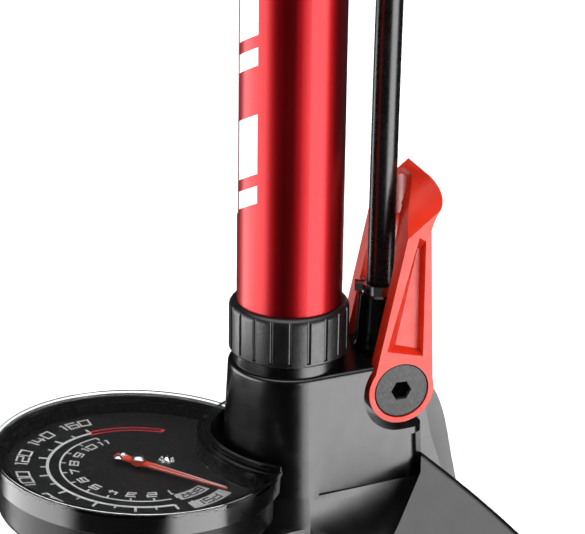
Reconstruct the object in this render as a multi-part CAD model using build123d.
from build123d import *

import os
from math import cos, pi, radians, sin, tan

# Floor bike pump. Millimetres, +Z up. The barrel stands on the Z axis and the floor is z = 0.
# The gauge is at the front, towards -Y. The hose and the selector lever are at the rear, +Y.

# Driving dimensions
COLLAR_TOP = 118.0
BARREL_R = 17.5
BARREL_WALL = 1.5
BARREL_BOTTOM = 70.0
BARREL_TOP = 596.0
STROKE = 450.0

HOUSING_BOTTOM = 56.0
HOUSING_TOP = 98.0
BASE_BOTTOM = 4.0
PANEL_DEPTH = 1.0
WING_ANGLE = 35.0
WING_REACH = 152.0
WING_TIP_SIDE = 18.0
FOOT_REACH = WING_REACH * sin(radians(WING_ANGLE)) + WING_TIP_SIDE * cos(radians(WING_ANGLE))

PIVOT_Y = 34.0
PIVOT_Z = 88.2
SHAFT_R = 6.0
LEVER_HALF_WIDTH = 17.5
ARM_THICKNESS = 5.5
LEVER_RING_R = 11.5
CAP_R = 9.4
TAB_LEAN = radians(38.7)
TAB_SHOULDER = 41.7
TAB_TOP = 51.8
POCKET_DEPTH = 3.2

GAUGE_Y = -52.35
DIAL_Z = 64.6
GAUGE_TILT = 2.4
BITE_Y = 58.35
BITE_R = 32.0
CASE_R = 46.6
LENS_R = 49.0
DIAL_R = 44.0
POINTER_REST = 41.0
POINTER_LENGTH = 34.2

GEAR_MODULE = 0.5
PINION_TEETH = 12
SECTOR_TEETH = 60

HOSE_R = 4.5
HOSE_Y = 32.3
FITTING_TOP = 119.0

ROD_R = 5.0
HANDLE_Z = 645.0
HANDLE_HALF = 116.0
GRIP_R = 15.5

HEAD_TOP = 296.0
HEAD_ANGLE = 150.0
HEAD_REACH = 38.0
HEAD_R = 9.0
CLIP_SPLIT = 1.2

SLIDE_GAP = 0.05
BODY_GAP = 0.3


def save(name, shape):
    """Write one named piece."""
    export_step(shape, f"parts/{name}.step")


def disc(radius, z0, z1, x=0.0, y=0.0):
    """A vertical cylinder between two heights."""
    return Pos(x, y, (z0 + z1) / 2) * Cylinder(radius, z1 - z0)


def ring(outer, inner, z0, z1, x=0.0, y=0.0):
    """A vertical tube between two heights."""
    return disc(outer, z0, z1, x, y) - disc(inner, z0 - 1, z1 + 1, x, y)


def block(x0, x1, y0, y1, z0, z1):
    """A box between two corners."""
    x0, x1 = sorted((x0, x1))
    centre = Pos((x0 + x1) / 2, (y0 + y1) / 2, (z0 + z1) / 2)
    return centre * Box(x1 - x0, y1 - y0, z1 - z0)


def across(radius, x0, x1, y=0.0, z=0.0):
    """A cylinder lying along X."""
    return Pos((x0 + x1) / 2, y, z) * Rot(Y=90) * Cylinder(radius, x1 - x0)


def along_y(radius, y0, y1, x=0.0, z=0.0):
    """A cylinder lying along Y."""
    return Pos(x, (y0 + y1) / 2, z) * Rot(X=90) * Cylinder(radius, y1 - y0)


def turned(points):
    """A solid of revolution about Z from (radius, height) points."""
    outline = Polyline(*[(r, 0, z) for r, z in points], close=True)
    return revolve(make_face(outline), Axis.Z)


def hull_of(circles):
    """The face inside a taut band around circles given as (x, y, radius)."""
    rims = [(Pos(x, y) * Circle(r)).edge() for x, y, r in circles]
    return make_hull(rims)


# Base: casting, feet and screws


def delta_outline(front, half_width, rear, corner):
    """A three-cornered outline: a round front and two rounded rear corners."""
    return hull_of(
        [
            (0, 0, front),
            (half_width - corner, rear - corner, corner),
            (corner - half_width, rear - corner, corner),
        ]
    )


def hub(inset, low, high):
    """The flared middle of the base, under the valve housing."""
    levels = [
        (56.0, 22.2, 17.6, 43.6, 5.5),
        (47.0, 24.5, 24.0, 47.0, 8.0),
        (34.0, 29.0, 36.0, 53.0, 11.0),
        (BASE_BOTTOM, 36.0, 50.0, 64.0, 16.0),
    ]
    faces = []
    for z, front, half_width, rear, corner in levels:
        outline = delta_outline(front - inset, half_width - inset, rear - inset, corner)
        faces.append(Pos(0, 0, z - inset) * outline)
    shape = loft(faces)
    return shape & block(-200, 200, -200, 200, low, high)


def wing_section(reach, front_low, front_top, rear_top, rear_low, inset, bottom):
    """One upright section across a wing: corners as (sideways, height), rounded."""
    corners = [
        (front_low + inset, bottom),
        (front_top[0] + inset, front_top[1] - inset),
        (rear_top[0] - inset, rear_top[1] - inset),
        (rear_low - inset, bottom),
    ]
    plane = Plane(origin=(reach, 0, 0), x_dir=(0, 1, 0), z_dir=(1, 0, 0))
    face = make_face(Polyline(*corners, close=True))
    upper = [v for v in face.vertices() if v.Y > bottom + 1]
    return plane * fillet(upper, 3.0 - inset * 0.5)


def wing_relief():
    """The hollow between a wing's inner end and the housing, over the hub."""
    inner_end = [(0, 28), (36, 28), (41.2, 19.8), (45.4, 1), (47, -8), (47, -60), (0, -60)]
    outline = Polyline(*inner_end, close=True)
    return Pos(0, 0, 30) * extrude(make_face(outline), 60)


def wing(inset, bottom, sections):
    """A leg that sweeps out and down from the hub, before it is turned into place."""
    faces = []
    for reach, front_low, front_top, rear_top, rear_low in sections:
        faces.append(wing_section(reach, front_low, front_top, rear_top, rear_low, inset, bottom))
    return loft(faces) - wing_relief()


WING_SECTIONS = [
    (22.0, -20.0, (-12.0, 54.3), (28.0, 71.4), 32.0),
    (45.0, -19.0, (-12.0, 44.2), (28.0, 61.3), 33.0),
    (68.0, -18.0, (-11.0, 34.4), (27.5, 50.9), 32.0),
    (96.0, -17.0, (-9.0, 24.0), (24.0, 37.0), 29.0),
    (WING_REACH, -13.0, (-8.0, 12.0), (WING_TIP_SIDE - 3, 13.5), WING_TIP_SIDE),
]


def both_wings(shape):
    """A wing turned to its place, and its mirror image."""
    placed = Rot(Z=WING_ANGLE) * shape
    return placed, mirror(placed, about=Plane.YZ)


def foot_place(side):
    """Where the middle of a rear foot pad is."""
    reach = WING_REACH - 16.0
    offset = 4.0
    x = reach * cos(radians(WING_ANGLE)) - offset * sin(radians(WING_ANGLE))
    y = reach * sin(radians(WING_ANGLE)) + offset * cos(radians(WING_ANGLE))
    return side * x, y


def rear_rib():
    """The upright spine behind the housing, on a thicker web that fills in to the housing."""
    crest = Spline((48, 86), (54.0, 76), (58.5, 58), (64, 34), (74, BASE_BOTTOM))
    foot = Line(crest @ 1, (30, BASE_BOTTOM))
    front = Line(foot @ 1, (30, 86))
    top = Line(front @ 1, crest @ 0)
    face = make_face(Curve() + [crest, foot, front, top])
    spine = extrude(Plane.YZ * face, 3.4, both=True)
    web = []
    for z, root_half, crest_half, crest_y in RIB_WEB:
        corners = [(root_half, 36), (crest_half, crest_y), (-crest_half, crest_y), (-root_half, 36)]
        web.append(Pos(0, 0, z) * make_face(Polyline(*corners, close=True)))
    return spine + loft(web, ruled=True)


# Heights of the web's sections, each with its half width at the housing, its half width
# at the spine and how far back it reaches.
RIB_WEB = [
    (83.0, 10.6, 8.0, 45.4),
    (66.0, 11.0, 8.6, 49.0),
    (50.0, 14.0, 11.0, 53.6),
    (20.0, 22.0, 16.0, 60.0),
]


def front_leg(inset, bottom):
    """The pedestal under the gauge, running forward to the front foot."""
    toe = 18 - inset
    low = hull_of([(-20, 18 - FOOT_REACH, toe), (20, 18 - FOOT_REACH, toe), (0, 0, 30 - inset)])
    top = hull_of([(-18, -62, toe), (18, -62, toe), (0, 0, 24 - inset)])
    return loft([Pos(0, 0, bottom) * low, Pos(0, 0, 46 - inset) * top])


def base_casting():
    """The three-legged base, hollow underneath."""
    outer = hub(0.0, BASE_BOTTOM, HOUSING_BOTTOM)
    for solid in both_wings(wing(0.0, BASE_BOTTOM, WING_SECTIONS)):
        outer += solid
    outer += front_leg(0.0, BASE_BOTTOM)
    outer += rear_rib()
    outer &= block(-200, 200, -FOOT_REACH, FOOT_REACH, BASE_BOTTOM, 90)
    outer -= housing_envelope(0.0)
    wall = 3.5
    hollow = hub(wall, BASE_BOTTOM - 4, 40)
    for solid in both_wings(wing(wall, BASE_BOTTOM - 2, WING_SECTIONS[:4])):
        hollow += solid
    hollow += front_leg(wall, BASE_BOTTOM - 2)
    for x, y in SCREW_PLACES:
        hollow -= disc(5.0, 0, 60, x, y)
    hollow -= front_foot_block()
    hollow &= block(-200, 200, -200, 200, 0, 42)
    casting = outer - hollow
    casting -= gauge_clearance()
    for x, y in SCREW_PLACES:
        casting -= disc(1.9, 0, 60, x, y)
        casting -= disc(3.6, 0, 36, x, y)
    return casting


SCREW_PLACES = [(-11.0, 12.0), (11.0, 12.0), (-11.0, -9.0), (11.0, -9.0)]


def front_foot_block():
    """The solid end of the front leg that carries its pad."""
    return block(-40, 40, -FOOT_REACH - 4, 24 - FOOT_REACH, 0, 30)


def foot_pads():
    """Three rubber pads that the base stands on."""
    pads = Part()
    for side in (-1, 1):
        x, y = foot_place(side)
        pad = extrude(RectangleRounded(20, 24, 6), BASE_BOTTOM)
        pads += Pos(x, y, 0) * Rot(Z=side * (WING_ANGLE - 90)) * pad
    front = extrude(RectangleRounded(40, 16, 6), BASE_BOTTOM)
    pads += Pos(0, 12 - FOOT_REACH, 0) * front
    return pads


def base_screws():
    """Four screws that hold the housing to the base from below."""
    screws = Part()
    for x, y in SCREW_PLACES:
        screw = disc(1.8, 33, 66, x, y) + disc(3.4, 33, 36, x, y)
        screw -= extrude(Pos(x, y, 33) * RegularPolygon(1.5, 6, major_radius=False), 1.6)
        screws += screw
    return screws


# Valve housing


def housing_outline(z, inset):
    """The housing's teardrop outline at a height."""
    share = (HOUSING_TOP - z) / (HOUSING_TOP - HOUSING_BOTTOM)
    front = 20.2 + 2.0 * share
    half_width = 16.6 + 1.9 * share
    rear = 42.0 + 1.6 * share
    return delta_outline(front - inset, half_width - inset, rear - inset, 5.5)


def housing_envelope(inset):
    """The outside of the housing, or a surface a little inside it."""
    low = Pos(0, 0, HOUSING_BOTTOM) * housing_outline(HOUSING_BOTTOM, inset)
    top = Pos(0, 0, HOUSING_TOP) * housing_outline(HOUSING_TOP, inset)
    return loft([low, top])


def lever_recess(side):
    """The room that the lever's ring and arm need beside the housing."""
    floor = LEVER_HALF_WIDTH - ARM_THICKNESS - BODY_GAP
    x0, x1 = sorted((side * floor, side * 40.0))
    radius = LEVER_RING_R + 2.4
    cut = across(radius, x0, x1, PIVOT_Y, PIVOT_Z)
    cut += block(x0, x1, PIVOT_Y, 70, PIVOT_Z - radius, 130)
    return cut


def side_panels():
    """The shallow panels moulded into the lower half of the housing's two sides."""
    low, high = HOUSING_BOTTOM - 1.0, 72.0
    outline = Polyline((3.4, low), (60, low), (60, high), (5.8, high), close=True)
    panels = extrude(Plane.YZ * make_face(outline), 30, both=True) - block(-15, 15, 0, 60, 50, 80)
    return panels - housing_envelope(PANEL_DEPTH)


def valve_housing():
    """The housing that holds the barrel, the check valve, the selector and the hose."""
    shell = housing_envelope(0.0)
    rim = [e for e in shell.edges() if abs((e @ 0.5).Z - HOUSING_TOP) < 0.01]
    shell = fillet(rim, 1.6)
    spigot = ring(18.7, 12, HOUSING_TOP - 3, 110)
    shell += spigot
    for side in (-1, 1):
        shell -= lever_recess(side)
    shell -= side_panels()
    shell -= disc(BARREL_R, BARREL_BOTTOM, 120)
    shell -= disc(6.0, 63, 75)
    shell -= disc(2.0, 57.6, 75)
    shell -= along_y(1.6, 0, PIVOT_Y + 2, 0, 59.5)
    shell -= disc(2.0, 59, HOUSING_TOP + 1, 0, PIVOT_Y)
    shell -= disc(5.0, 94.6, HOUSING_TOP + 1, 0, HOSE_Y)
    shell -= across(SHAFT_R + SLIDE_GAP, -30, 30, PIVOT_Y, PIVOT_Z)
    shell -= gauge_passage(1.53, 60)
    for x, y in SCREW_PLACES:
        shell -= disc(1.85, 50, 66.5, x, y)
    return shell


def collar_nut(low, high, outer, inner, threaded_r, threaded_top):
    """A grooved ring nut with a rounded upper edge."""
    nut = disc(outer, low, high)
    nut = fillet(nut.edges().sort_by(Axis.Z)[-1], 2.4)
    nut = fillet(nut.edges().sort_by(Axis.Z)[0], 0.8)
    grooves = 20
    for step in range(grooves):
        spin = 360 / grooves * step
        nut -= Rot(Z=spin) * disc(0.75, low + 1.2, high - 1.0, outer + 0.1, 0)
    nut -= disc(inner, low - 1, high + 1)
    return nut - disc(threaded_r, low - 1, threaded_top)


# Barrel and its valves


def barrel():
    return ring(BARREL_R, BARREL_R - BARREL_WALL, BARREL_BOTTOM, BARREL_TOP)


def barrel_seal():
    return ring(18.5, BARREL_R + SLIDE_GAP, 110.1, 112.4)


def valve_seat():
    """The threaded plug at the foot of the barrel that the check disc closes."""
    seat = disc(5.9, 63.2, 70) + disc(10.0, 70, 71.8)
    seat -= disc(1.5, 60, 80)
    return seat - disc(4.4, 60, 66.9)


def check_disc():
    return disc(3.6, 65.0, 66.8) + disc(1.4, 63.6, 65.0)


def check_spring():
    """The coil that holds the check disc up against its seat, as a sleeve."""
    return ring(2.6, 1.8, 63.05, 64.95)


# Selector lever


def lever_side():
    """The lever's side outline: a straight arm whose thumb tab leans back at the top."""
    front = Line((-9.9, 4.0), (0.6, 54.0))
    face = ThreePointArc(front @ 1, (2.6, 63.0), (6.2, 70.4))
    tip = ThreePointArc(face @ 1, (8.2, 72.6), (10.8, 72.2))
    back = ThreePointArc(tip @ 1, (12.7, 68.2), (12.2, 63.6))
    heel = ThreePointArc(back @ 1, (10.2, 60.0), (8.8, 56.0))
    rear = Line(heel @ 1, (LEVER_RING_R - 0.3, 0))
    close = Line(rear @ 1, front @ 0)
    return make_face(Curve() + [front, face, tip, back, heel, rear, close])


def tab_outline(half):
    """What the arms and the round thumb tab fill, seen square to the leaning tab."""
    right = Line((half, -60), (half, TAB_SHOULDER))
    crown = ThreePointArc(right @ 1, (0, TAB_TOP), (-half, TAB_SHOULDER))
    left = Line(crown @ 1, (-half, -60))
    base = Line(left @ 1, right @ 0)
    plane = Plane(origin=(0, 0, 0), x_dir=(1, 0, 0), z_dir=(0, -cos(TAB_LEAN), -sin(TAB_LEAN)))
    return extrude(plane * make_face(Curve() + [right, crown, left, base]), 90, both=True)


def arm_pocket(half):
    """The three-cornered hollow in an arm's outer face, with one wide sloping wall."""
    mouth = [(-5.6, 14.8), (7.3, 11.6), (7.0, 52.6), (4.6, 54.0)]
    floor = [(-1.4, 15.6), (6.5, 13.2), (6.3, 48.6), (5.4, 49.4)]
    outer = Plane(origin=(half, 0, 0), x_dir=(0, 1, 0), z_dir=(1, 0, 0))
    inner = Plane(origin=(half - POCKET_DEPTH, 0, 0), x_dir=(0, 1, 0), z_dir=(1, 0, 0))
    floor_face = inner * make_face(Polyline(*floor, close=True))
    mouth_face = outer * make_face(Polyline(*mouth, close=True))
    return loft([floor_face, mouth_face])


def lever_yoke():
    """A two-armed thumb lever that straddles the hose, built about its pivot."""
    half = LEVER_HALF_WIDTH
    side_plane = Plane(origin=(-half, 0, 0), x_dir=(0, 1, 0), z_dir=(1, 0, 0))
    body = extrude(side_plane * lever_side(), 2 * half)
    body += across(LEVER_RING_R, -half, half)
    body &= tab_outline(half)

    inner = half - ARM_THICKNESS
    left = Line((-inner, -20), (-inner, 38))
    arch_l = ThreePointArc(left @ 1, (-9.6, 47.6), (-5.6, 53.6))
    crown = ThreePointArc(arch_l @ 1, (0, 56.0), (5.6, 53.6))
    arch_r = ThreePointArc(crown @ 1, (9.6, 47.6), (inner, 38))
    right = Line(arch_r @ 1, (inner, -20))
    sill = Line(right @ 1, left @ 0)
    front_plane = Plane(origin=(0, 40, 0), x_dir=(1, 0, 0), z_dir=(0, -1, 0))
    window = make_face(Curve() + [left, arch_l, crown, arch_r, right, sill])
    body -= extrude(front_plane * window, 80)

    trough = Pos(0, HOSE_Y - PIVOT_Y - 1.0, 60) * Cylinder(8.6, 60)
    body -= trough
    pocket = arm_pocket(half)
    body -= pocket + mirror(pocket, about=Plane.YZ)
    seat = across(CAP_R + 0.25, half - 2.4, half + 1)
    body -= seat + mirror(seat, about=Plane.YZ)
    drive = extrude(Plane.YZ * RegularPolygon(4.6, 6, major_radius=False), 40, both=True)
    return body - drive


def at_pivot(shape):
    return Pos(0, PIVOT_Y, PIVOT_Z) * shape


def selector_shaft():
    """The ported shaft that the lever turns, with hexagonal ends and two seal grooves."""
    end = LEVER_HALF_WIDTH - 2.5
    shaft = across(SHAFT_R, -11.7, 11.7)
    hexagon = RegularPolygon(4.5, 6, major_radius=False)
    shaft += extrude(Plane.YZ * hexagon, end, both=True)
    for x in (-7.0, 7.0):
        shaft -= across(SHAFT_R + 1, x - 0.9, x + 0.9) - across(4.7, x - 0.9, x + 0.9)
    shaft -= disc(1.8, -10, 10)
    shaft -= along_y(1.8, 0, 10)
    for side in (-1, 1):
        x0, x1 = sorted((side * (end - 8), side * (end + 1)))
        shaft -= across(2.1, x0, x1)
    return shaft


def shaft_seals():
    seals = Part()
    for x in (-7.0, 7.0):
        seals += across(SHAFT_R, x - 0.8, x + 0.8) - across(4.75, x - 2, x + 2)
    return seals


def pivot_caps():
    """Two socket-headed caps that clamp the lever to the shaft."""
    caps = Part()
    outer = LEVER_HALF_WIDTH - 0.3
    for side in (-1, 1):
        x0, x1 = sorted((side * (outer - 2.0), side * outer))
        cap = across(CAP_R, x0, x1)
        cap = fillet(cap.edges().sort_by(Axis.X)[-1 if side > 0 else 0], 0.5)
        s0, s1 = sorted((side * (outer - 9.0), side * (outer - 2.0)))
        cap += across(2.0, s0, s1)
        socket = extrude(Plane.YZ * RegularPolygon(3.15, 6, major_radius=False), 3.0)
        cap -= Pos(side * outer - 1.5, 0, 0) * socket
        caps += cap
    return caps


# Hose fitting and hose


def hose_fitting():
    """The tapered sleeve that the hose rises from."""
    outer = turned([(0, 98), (9.0, 98), (9.0, 99.6), (8.4, 101), (7.1, 117.4), (6.6, 118), (0, 118)])
    outer = Pos(0, HOSE_Y, 0) * outer
    lug = Box(2.4, 2.6, 9)
    lug = fillet(lug.edges().filter_by(Axis.X), 1.2)
    outer += Pos(6.4, HOSE_Y + 1.5, 109) * Rot(Y=-4) * lug
    outer += disc(4.8, 94.7, 98, 0, HOSE_Y)
    outer += disc(5.2, 118, FITTING_TOP, 0, HOSE_Y)
    return outer - disc(2.2, 90, 125, 0, HOSE_Y)


def hose_clamp():
    """The split spring ring at the top of the fitting."""
    clamp = ring(6.5, 5.3, 118.05, 121.2)
    clamp -= block(-9, 0, -0.9, 0.9, 110, 130)
    for side in (-1, 1):
        clamp += block(-8.6, -5.6, side * 1.4 - 0.5, side * 1.4 + 0.5, 118.3, 121.0)
    return Pos(0, HOSE_Y, 0) * Rot(Z=70) * clamp


def head_centre():
    x = HEAD_REACH * cos(radians(HEAD_ANGLE))
    y = HEAD_REACH * sin(radians(HEAD_ANGLE))
    return x, y


HOSE_CLIP_Y = 32.4

# The hose's route, by hand: up behind the barrel, over in a round arch, and down to the head.
def hose_route():
    head_x, head_y = head_centre()
    rise = [
        (0.0, HOSE_Y, FITTING_TOP),
        (0.0, HOSE_Y, 150.0),
        (-0.3, 32.7, 205.0),
        (0.3, 33.3, 265.0),
        (0.4, 33.7, 325.0),
        (-0.2, 33.6, 385.0),
        (-0.3, 33.0, 440.0),
        (0.0, HOSE_CLIP_Y, 485.0),
        (0.0, HOSE_CLIP_Y, 535.0),
    ]
    arch = [
        (0.0, 34.4, 586.8),
        (-19.9, 35.2, 614.2),
        (-52.0, 35.6, 624.6),
        (-84.1, 35.2, 614.2),
        (-104.0, 34.4, 586.8),
    ]
    fall = [
        (-106.0, 33.4, 549.0),
        (-99.0, 31.6, 500.0),
        (-83.0, 28.6, 451.0),
        (-62.0, 24.6, 406.0),
        (-44.0, 21.0, 366.0),
        (head_x, head_y, 330.0),
        (head_x, head_y, HEAD_TOP),
    ]
    return rise + arch + fall


def hose_path(points):
    """Straight runs joined by arcs as large as the runs allow, with their radii."""
    places = [Vector(*p) for p in points]
    radii = []
    for before, here, after in zip(places, places[1:], places[2:]):
        turn = (here - before).get_angle(after - here)
        shorter = min((here - before).length, (after - here).length)
        radii.append(0.45 * shorter / tan(radians(turn / 2)))
    return FilletPolyline(*points, radius=radii), radii


def hose():
    path, radii = hose_path(hose_route())
    section = Plane(origin=path @ 0, z_dir=path % 0) * Circle(HOSE_R)
    tube = sweep(section, path=path)
    expected = pi * HOSE_R**2 * path.length
    print("hose length", round(path.length, 1), "volume ratio", round(tube.volume / expected, 4))
    print("hose radii", [round(r) for r in radii])
    return tube


# Gauge


def at_gauge(shape):
    """Moves a piece from the dial's own frame to its place on the base."""
    return Pos(0, GAUGE_Y, DIAL_Z) * Rot(X=-GAUGE_TILT) * shape


def bitten(radius, z0, z1, inset):
    """A disc with a crescent cut out of its rear, where the housing stands."""
    return disc(radius, z0, z1) - disc(BITE_R + inset, z0 - 1, z1 + 1, 0, BITE_Y)


PASSAGE_DEPTH = -4.0


def gauge_passage(radius, reach):
    """A round passage from the gauge's inlet block towards the barrel, in its place."""
    return at_gauge(along_y(radius, 14, reach, 0, PASSAGE_DEPTH))


def gauge_clearance():
    """The seat in the base that the gauge's casing drops into."""
    return at_gauge(bitten(CASE_R + 0.1, -14.05, 40, -0.1))


def gauge_casing():
    outer = bitten(CASE_R, -14, 3.4, 0)
    low = [e for e in outer.edges() if (e @ 0.5).Z < -13.9]
    outer = fillet(low, 3.0)
    case = outer - bitten(CASE_R - 2.2, -11.6, 5, 2.2)
    return case - along_y(1.7, 14, 40, 0, PASSAGE_DEPTH)


def gauge_bezel():
    """The dark ring that clamps the lens to the casing."""
    outer = bitten(LENS_R - 0.6, -1.4, 5.4, 0) - bitten(CASE_R + 0.1, -2, 3.5, -0.1)
    low = [e for e in outer.edges() if (e @ 0.5).Z < -1.39]
    outer = chamfer(low, 0.3)
    return outer - bitten(LENS_R - 3.4, 0, 6, 3.0)


def gauge_lens():
    """The clear window, with a raised rim and a deep stepped wall along its notch."""
    plate = bitten(LENS_R, 5.5, 6.2, 0)
    rim = bitten(LENS_R, 6.2, 6.7, 0) - bitten(LENS_R - 1.0, 6, 8, 1.0)
    wall = bitten(CASE_R - 2.4, 0.3, 5.5, 3.1) - bitten(LENS_R, 0, 6, 4.6)
    step = bitten(LENS_R - 0.3, 6.2, 8.6, 0.5) - bitten(LENS_R, 6, 12, 1.9)
    return plate + rim + wall + step


def dial_plate():
    dial = bitten(DIAL_R, -0.9, -0.1, 4.8)
    return dial - disc(1.4, -2, 2)


def dial_spacer():
    """The white ring that holds the dial off the movement."""
    wall = bitten(DIAL_R, -11.55, -1.0, 4.8) - bitten(DIAL_R - 1.6, -13, 0, 6.0)
    return wall - along_y(1.8, 14, 30, 0, PASSAGE_DEPTH)


def pointer():
    """A tapered hand with a short tail, lying along +X before it is turned."""
    tail = Line((-9, -1.5), (-9, 1.5))
    up = Line(tail @ 1, (0, 1.7))
    over = Line(up @ 1, (POINTER_LENGTH, 0.35))
    tip = Line(over @ 1, (POINTER_LENGTH, -0.35))
    down = Line(tip @ 1, (0, -1.7))
    back = Line(down @ 1, tail @ 0)
    hand = extrude(make_face(Curve() + [tail, up, over, tip, down, back]), 0.6)
    hand = Pos(0, 0, 1.4) * hand
    hand += disc(2.4, 1.1, 2.5)
    return Rot(Z=POINTER_REST) * (hand - disc(0.8, 0, 6))


def pointer_staff():
    return disc(0.8, -8.6, 2.5) + disc(1.5, 2.5, 3.2)


def gear(teeth, thickness, first, last):
    """A spur gear with straight-sided teeth, cut only from the first tooth to the last."""
    pitch_r = GEAR_MODULE * teeth / 2
    root_r = pitch_r - 1.2 * GEAR_MODULE
    foot_r = root_r - 0.2
    tip_r = pitch_r + 0.8 * GEAR_MODULE
    pitch_angle = 360 / teeth
    root_half = radians(pitch_angle * 0.27)
    tip_half = radians(pitch_angle * 0.10)
    corners = [
        (foot_r * cos(root_half), -foot_r * sin(root_half)),
        (tip_r * cos(tip_half), -tip_r * sin(tip_half)),
        (tip_r * cos(tip_half), tip_r * sin(tip_half)),
        (foot_r * cos(root_half), foot_r * sin(root_half)),
    ]
    tooth = extrude(make_face(Polyline(*corners, close=True)), thickness)
    solid = Cylinder(root_r, thickness)
    for index in range(first, last + 1):
        solid += Rot(Z=index * pitch_angle) * Pos(0, 0, -thickness / 2) * tooth
    return solid


SECTOR_X = -(PINION_TEETH + SECTOR_TEETH) * GEAR_MODULE / 2


def pointer_pinion():
    """The small gear on the pointer's staff."""
    blank = gear(PINION_TEETH, 1.6, 1, PINION_TEETH)
    half_tooth = 180 / PINION_TEETH
    placed = Pos(0, 0, -5.4) * Rot(Z=180 + half_tooth) * blank
    return placed - disc(0.8, -9, 0)


def sector_gear():
    """The toothed sector that the pressure tube swings."""
    full = gear(SECTOR_TEETH, 1.4, -10, 2)
    wedge = Line((0, 0), (40 * cos(radians(60)), -40 * sin(radians(60))))
    side = Line(wedge @ 1, (40, -10))
    front = Line(side @ 1, (40, 12))
    end = Line(front @ 1, (0, 0))
    kept = extrude(make_face(Curve() + [wedge, side, front, end]), 4)
    sector = full & (Pos(0, 0, -2) * kept)
    sector += Cylinder(2.6, 1.4)
    sector += Rot(Z=150) * (Pos(3, 0, 0) * Box(6, 2.4, 1.4))
    return Pos(SECTOR_X, 0, -5.4) * (sector - Cylinder(1.0, 4))


def sector_arbor():
    return disc(0.97, -9.4, -3.2, SECTOR_X, 0)


def movement_plates():
    """The brass frame that carries the staff and the sector."""
    low = Pos(-9, 0, -9.0) * extrude(RectangleRounded(28, 12, 4), 1.0)
    low -= disc(0.83, -12, 0)
    low -= disc(1.0, -12, 0, SECTOR_X, 0)
    high = Pos(-9, 0, -3.4) * extrude(RectangleRounded(28, 9, 3), 0.8)
    high -= disc(0.86, -12, 0)
    high -= disc(1.0, -12, 0, SECTOR_X, 0)
    return low + high


def movement_posts():
    posts = Part()
    for x, y in ((3.4, -3.6), (3.4, 3.6)):
        posts += disc(0.6, -7.95, -3.45, x, y)
    return posts


def bourdon_tube():
    """The flat curved tube that pressure straightens."""
    path = Pos(0, -4, -6.6) * CenterArc((0, 0), 23, 65, -235)
    section = Plane(origin=path @ 0, z_dir=path % 0) * Rectangle(2.0, 6.0)
    return sweep(section, path=path)


def pressure_inlet():
    """The brass block that feeds the pressure tube through the casing's floor."""
    body = block(-5.0, 11.0, 12.5, 18.5, -11.5, -2.2) - bourdon_tube()
    return body - along_y(1.5, 14, 40, 0, PASSAGE_DEPTH)


def gauge_pipe():
    """The short pipe from the housing to the gauge's inlet block."""
    return gauge_passage(1.5, 34) - gauge_passage(0.8, 50)


# Plunger and handle


def piston_rod():
    return disc(ROD_R, 92, HANDLE_Z - 6) - disc(ROD_R - 1.5, 90, 620)


def piston():
    """The piston, turned with a groove for its seal."""
    outer = BARREL_R - BARREL_WALL - 0.4
    shape = turned(
        [
            (0, 80), (outer, 80), (outer, 84), (13.4, 84), (13.4, 87.2),
            (outer, 87.2), (outer, 91), (9, 94), (9, 100), (0, 100),
        ]
    )
    return shape - disc(ROD_R, 92, 101) - disc(2.6, 70, 93)


def piston_seal():
    outer = BARREL_R - BARREL_WALL - SLIDE_GAP
    return ring(outer, 13.4, 84.1, 87.1)


def piston_screw():
    screw = disc(2.5, 76.5, 92) + disc(5.0, 76.5, 79.9)
    return screw - extrude(Pos(0, 0, 76.5) * RegularPolygon(2.0, 6, major_radius=False), 2.2)


def top_cap():
    """The cap that closes the barrel and guides the rod."""
    cap = collar_nut(584, 610, 21.0, 9.0, BARREL_R, BARREL_TOP)
    return cap


def guide_bush():
    bush = ring(8.9, ROD_R + SLIDE_GAP, 596.1, 609.0)
    return bush + ring(12.5, ROD_R + SLIDE_GAP, 592.0, 596.0)


def rod_wiper():
    return ring(8.8, ROD_R + SLIDE_GAP, 609.1, 610.9)


def bump_stop():
    """The rubber ring that the handle lands on."""
    return ring(11.5, ROD_R, 618.0, 624.0)


def handle_core():
    """The crossbar socket that clamps the rod."""
    hub_part = disc(13.0, 624.0, HANDLE_Z)
    hub_part = fillet(hub_part.edges().sort_by(Axis.Z)[0], 2.5)
    bar = across(9.0, -HANDLE_HALF + 5, HANDLE_HALF - 5, 0, HANDLE_Z)
    waist = across(15.0, -17, 17, 0, HANDLE_Z)
    waist = fillet(waist.edges().filter_by(GeomType.CIRCLE), 3.0)
    core = bar + waist + hub_part
    core -= disc(ROD_R, 600, HANDLE_Z - 6)
    core -= disc(2.6, 630, 680)
    return core - disc(5.2, HANDLE_Z + 10.6, 680)


def handle_screw():
    screw = disc(2.5, HANDLE_Z - 6, HANDLE_Z + 10.6) + disc(5.0, HANDLE_Z + 10.6, HANDLE_Z + 13.6)
    socket = RegularPolygon(2.5, 6, major_radius=False)
    return screw - extrude(Pos(0, 0, HANDLE_Z + 11.2) * socket, 4)


def handle_grip(side):
    """A rounded grip that swells in the palm."""
    profile = [
        (17.2, 13.6), (22, 14.6), (34, 13.4), (60, 16.2), (86, 14.8), (104, 13.2), (110.8, 14.4),
    ]
    crest = Spline(*[(x, r) for x, r in profile])
    end = Line(crest @ 1, (110.8, 9.0))
    inside = Line(end @ 1, (17.2, 9.0))
    start = Line(inside @ 1, crest @ 0)
    face = make_face(Curve() + [crest, end, inside, start])
    grip = revolve(Plane.XZ * face, Axis.X)
    if side < 0:
        grip = mirror(grip, about=Plane.YZ)
    return Pos(0, 0, HANDLE_Z) * grip


def handle_caps():
    """The two coloured plugs in the grips' ends."""
    caps = Part()
    for side in (-1, 1):
        x0, x1 = sorted((side * 111.0, side * HANDLE_HALF))
        cap = across(14.2, x0, x1, 0, HANDLE_Z)
        cap = fillet(cap.edges().sort_by(Axis.X)[-1 if side > 0 else 0], 2.5)
        caps += cap
    return caps


# Pump head and its dock


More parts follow.
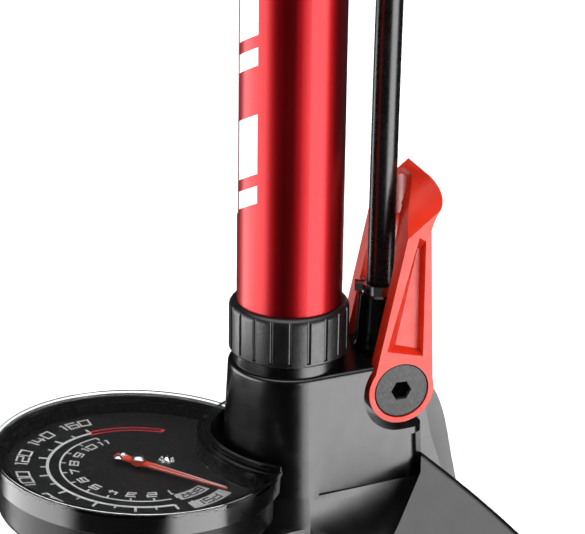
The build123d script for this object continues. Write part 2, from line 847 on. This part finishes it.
def jaw_clip(z0, z1, reach, angle, jaw_r):
    """A band round the barrel with a springy jaw that grips a round part beside it."""
    band = ring(BARREL_R + 2.6, BARREL_R, z0, z1)
    jaw = ring(jaw_r + 2.4, jaw_r, z0, z1, reach, 0)
    jaw -= block(reach + jaw_r * 0.35, reach + 40, -jaw_r * 0.86, jaw_r * 0.86, z0 - 1, z1 + 1)
    bridge = block(BARREL_R + 0.6, reach - jaw_r - 0.8, -4.5, 4.5, z0, z1)
    clip = band + bridge + jaw
    clip -= disc(BARREL_R, z0 - 1, z1 + 1)
    clip -= disc(jaw_r, z0 - 1, z1 + 1, reach, 0)
    clip -= block(-40, -BARREL_R + 2, -CLIP_SPLIT / 2, CLIP_SPLIT / 2, z0 - 1, z1 + 1)
    return Rot(Z=angle) * clip


def hose_clip():
    return jaw_clip(503.0, 517.0, HOSE_CLIP_Y, 90.0, HOSE_R + SLIDE_GAP)


def head_dock():
    return jaw_clip(258.0, 272.0, HEAD_REACH, HEAD_ANGLE, HEAD_R + SLIDE_GAP)


HEAD_PIN_X = 11.2
HEAD_PIN_Z = -20.0
SLEEVE_TOP = -30.1


def at_head(shape):
    """Moves a piece from the head's own frame, hose end up, to its dock."""
    x, y = head_centre()
    return Pos(x, y, HEAD_TOP) * Rot(Z=HEAD_ANGLE) * shape


def head_body():
    """The pump head: a stepped body that the hose enters, with cheeks for its thumb lever."""
    body = turned([(0, 0), (6.6, 0), (7.4, -2), (HEAD_R, -14), (HEAD_R, SLEEVE_TOP), (0, SLEEVE_TOP)])
    cheeks = block(4, 13.5, -6.5, 6.5, -30, -12)
    cheeks = fillet(cheeks.edges().filter_by(Axis.Y), 2.5)
    body += cheeks
    body -= block(8.8, 20, -4.2, 4.2, -31, -11)
    body -= disc(2.2, SLEEVE_TOP - 1, 1)
    return body - Pos(HEAD_PIN_X, 0, HEAD_PIN_Z) * Rot(X=90) * Cylinder(1.5, 30)


def head_sleeve():
    """The lower barrel of the head, which the valve seal sits in."""
    return ring(HEAD_R, 7.0, -44, SLEEVE_TOP)


def head_nut():
    """The ribbed nut that squeezes the valve seal."""
    nut = disc(10.6, -56, -44.1)
    nut = fillet(nut.edges().filter_by(GeomType.CIRCLE), 1.2)
    ribs = 16
    for step in range(ribs):
        nut -= Rot(Z=360 / ribs * step) * disc(0.7, -54, -46, 10.7, 0)
    nut += disc(6.9, -44.2, -38)
    return nut - disc(4.4, -60, -30)


def head_seal():
    """The rubber sleeve that grips a tyre valve."""
    return ring(6.8, 4.1, -37.9, -30.1)


def head_pin():
    return Pos(HEAD_PIN_X, 0, HEAD_PIN_Z) * Rot(X=90) * Cylinder(1.5, 13)


def head_lever():
    """The thumb lever that squeezes the seal when it is turned up."""
    hub_part = Rot(X=90) * Cylinder(2.3, 8.0)
    arm = block(0.2, 3.4, -4.0, 4.0, -32, 0)
    pad = Box(2.6, 12, 14)
    pad = fillet(pad.edges().filter_by(Axis.X), 3.0)
    lever = hub_part + arm + Pos(2.9, 0, -31) * Rot(Y=-10) * pad
    lever -= Rot(X=90) * Cylinder(1.55, 30)
    return Pos(HEAD_PIN_X, 0, HEAD_PIN_Z) * lever


def build():
    os.makedirs("parts", exist_ok=True)

    save("base_casting", base_casting())
    save("foot_pads", foot_pads())
    save("base_screws", base_screws())
    save("valve_housing", valve_housing())
    save("collar_nut", collar_nut(102.0, COLLAR_TOP + 1, 20.0, 17.6, 18.8, 112.6))
    save("barrel", barrel())
    save("barrel_seal", barrel_seal())
    save("valve_seat", valve_seat())
    save("check_disc", check_disc())
    save("check_spring", check_spring())

    save("lever_yoke", at_pivot(lever_yoke()))
    save("selector_shaft", at_pivot(selector_shaft()))
    save("shaft_seals", at_pivot(shaft_seals()))
    save("pivot_caps", at_pivot(pivot_caps()))

    save("hose_fitting", hose_fitting())
    save("hose_clamp", hose_clamp())
    save("hose", hose())
    save("hose_clip", hose_clip())

    save("gauge_casing", at_gauge(gauge_casing()))
    save("gauge_bezel", at_gauge(gauge_bezel()))
    save("gauge_lens", at_gauge(gauge_lens()))
    save("dial_plate", at_gauge(dial_plate()))
    save("dial_spacer", at_gauge(dial_spacer()))
    save("pointer", at_gauge(pointer()))
    save("pointer_staff", at_gauge(pointer_staff()))
    save("pointer_pinion", at_gauge(pointer_pinion()))
    save("sector_gear", at_gauge(sector_gear()))
    save("sector_arbor", at_gauge(sector_arbor()))
    save("movement_plates", at_gauge(movement_plates()))
    save("movement_posts", at_gauge(movement_posts()))
    save("bourdon_tube", at_gauge(bourdon_tube()))
    save("pressure_inlet", at_gauge(pressure_inlet()))
    save("gauge_pipe", gauge_pipe())

    save("piston_rod", piston_rod())
    save("piston", piston())
    save("piston_seal", piston_seal())
    save("piston_screw", piston_screw())
    save("top_cap", top_cap())
    save("guide_bush", guide_bush())
    save("rod_wiper", rod_wiper())
    save("bump_stop", bump_stop())
    save("handle_core", handle_core())
    save("handle_screw", handle_screw())
    save("left_grip", handle_grip(-1))
    save("right_grip", handle_grip(1))
    save("handle_caps", handle_caps())

    save("head_dock", head_dock())
    save("head_body", at_head(head_body()))
    save("head_sleeve", at_head(head_sleeve()))
    save("head_nut", at_head(head_nut()))
    save("head_seal", at_head(head_seal()))
    save("head_pin", at_head(head_pin()))
    save("head_lever", at_head(head_lever()))


build()
